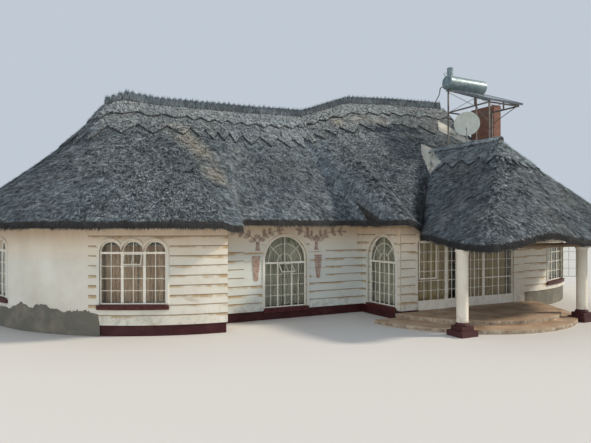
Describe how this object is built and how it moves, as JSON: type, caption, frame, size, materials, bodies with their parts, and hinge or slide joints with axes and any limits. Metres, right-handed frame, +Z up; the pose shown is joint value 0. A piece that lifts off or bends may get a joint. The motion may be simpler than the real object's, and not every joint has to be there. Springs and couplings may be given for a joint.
{
  "type": "thatched house",
  "caption": "Single-storey thatched house with two round ends, a projecting wing, arched windows and a glazed porch on columns under its own thatch.",
  "frame": {"origin": "on the ground under the main ridge, midway between the centres of the two round ends", "axes": "+X along the main ridge to the viewer's right, +Y towards the back of the house, +Z up; the porch faces -Y"},
  "size_m": [25.4945, 15.4956, 9.52],
  "materials": {
    "plaster": "matt lime-washed render",
    "red_paint": "matt maroon paint on render",
    "grey_render": "rough cement render",
    "screed": "steel-trowelled screed",
    "tile": "matt red clay",
    "window_steel": "gloss paint",
    "glass": "clear",
    "thatch": "weathered grass",
    "thatch_cap": "weathered grass",
    "pole": "debarked and oiled",
    "brick": "matt",
    "galvanised": "dull zinc",
    "collector": "glass over black absorber",
    "dish_paint": "matt",
    "curtain": "plain woven cloth",
    "relief": "painted render",
    "stone": "rough rubble"
  },
  "bodies": {
    "house": {"floor_slab": "screed", "red_plinth": "red_paint", "right_plinth": "grey_render", "left_end_wall": "plaster", "bay_wall": "plaster", "bay_return_wall": "plaster", "centre_wall": "plaster", "wing_side_wall": "plaster", "wing_return_wall": "plaster", "porch_lintel": "plaster", "porch_pier_wall": "plaster", "right_end_wall": "plaster", "right_rear_wall": "plaster", "back_wall": "plaster", "beam_filling": "plaster", "window_sills": "tile", "casement_windows": "window_steel", "arched_windows": "window_steel", "window_glass": "glass", "porch_screen": "window_steel", "screen_glass": "glass", "porch_floor": "screed", "porch_step": "screed", "porch_columns": "plaster", "porch_beams": "pole", "left_thatch": "thatch", "front_thatch": "thatch", "valley_thatch": "thatch", "right_thatch": "thatch", "back_thatch": "thatch", "wing_thatch": "thatch", "left_ridge_cap": "thatch_cap", "right_ridge_cap": "thatch_cap", "wing_cap": "thatch_cap", "chimney": "brick", "heater_stand": "galvanised", "solar_collector": "collector", "hot_water_tank": "galvanised", "dish": "dish_paint", "dish_arm": "galvanised"},
    "left_door": {"porch_door_left": "window_steel", "left_door_glass": "glass"},
    "right_door": {"porch_door_right": "window_steel", "right_door_glass": "glass"}
  },
  "joints": [
    {"name": "porch_door_left_hinge", "type": "hinge", "parent": "house", "child": "left_door", "pos_m": [1.631, -6.062, 0.25], "axis": [0, 0, -1], "range_deg": [0, 90]},
    {"name": "porch_door_right_hinge", "type": "hinge", "parent": "house", "child": "right_door", "pos_m": [3.329, -6.062, 0.25], "axis": [0, 0, 1], "range_deg": [0, 90]}
  ]
}
